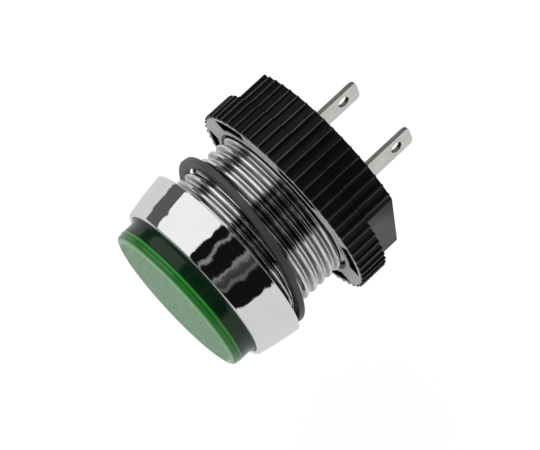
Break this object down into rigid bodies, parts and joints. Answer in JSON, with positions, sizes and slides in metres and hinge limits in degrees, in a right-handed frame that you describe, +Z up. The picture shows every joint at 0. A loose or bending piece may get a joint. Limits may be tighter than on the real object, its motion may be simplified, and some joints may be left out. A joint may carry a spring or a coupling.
{
  "type": "panel pilot light",
  "caption": "Round indicator lamp with a green lens in a plated bezel and threaded barrel, clamped through a panel by a ribbed ring nut, with two rear solder tabs.",
  "frame": {"origin": "centre of the bezel's rear face, in the plane of the panel's front", "axes": "+Y along the lamp's axis towards the tabs, so the lens looks along -Y; +X from one tab to the other; +Z up, across the width of the tabs"},
  "size_m": [0.0384, 0.0481, 0.0384],
  "materials": {
    "lens": "translucent green moulding, polished rim and frosted face",
    "diffuser": "milky translucent plastic",
    "reflector": "white moulding",
    "seal_rubber": "soft black rubber",
    "chrome_plate": "bright chrome plating over plastic",
    "gasket_rubber": "dark grey rubber sheet, cut ring",
    "nut_plastic": "black moulded plastic with a low gloss",
    "base_plastic": "black moulded plastic",
    "tinned_brass": "tin-plated blanked strip",
    "board": "green glass-fibre board with solder mask",
    "led_resin": "tinted clear epoxy",
    "resistor_body": "tan lacquer",
    "diode_body": "black epoxy",
    "capacitor_sleeve": "shrunk sleeve"
  },
  "bodies": {
    "lamp": {"lens_cap": "lens", "diffuser": "diffuser", "reflector": "reflector", "lens_seal": "seal_rubber", "bezel_body": "chrome_plate", "panel_gasket": "gasket_rubber", "terminal_base": "base_plastic", "solder_tab_1": "tinned_brass", "solder_tab_2": "tinned_brass", "led_board": "board", "led_1": "led_resin", "led_2": "led_resin", "led_3": "led_resin", "led_4": "led_resin", "led_5": "led_resin", "led_6": "led_resin", "resistor_1": "resistor_body", "resistor_2": "resistor_body", "rectifier_diode_1": "diode_body", "rectifier_diode_2": "diode_body", "rectifier_diode_3": "diode_body", "rectifier_diode_4": "diode_body", "smoothing_capacitor": "capacitor_sleeve"},
    "nut": {"ring_nut": "nut_plastic"}
  },
  "joints": [
    {"name": "nut_travel", "type": "slide", "parent": "lamp", "child": "nut", "axis": [0, 1, 0], "range_m": [-0.0055, 0.01]}
  ]
}
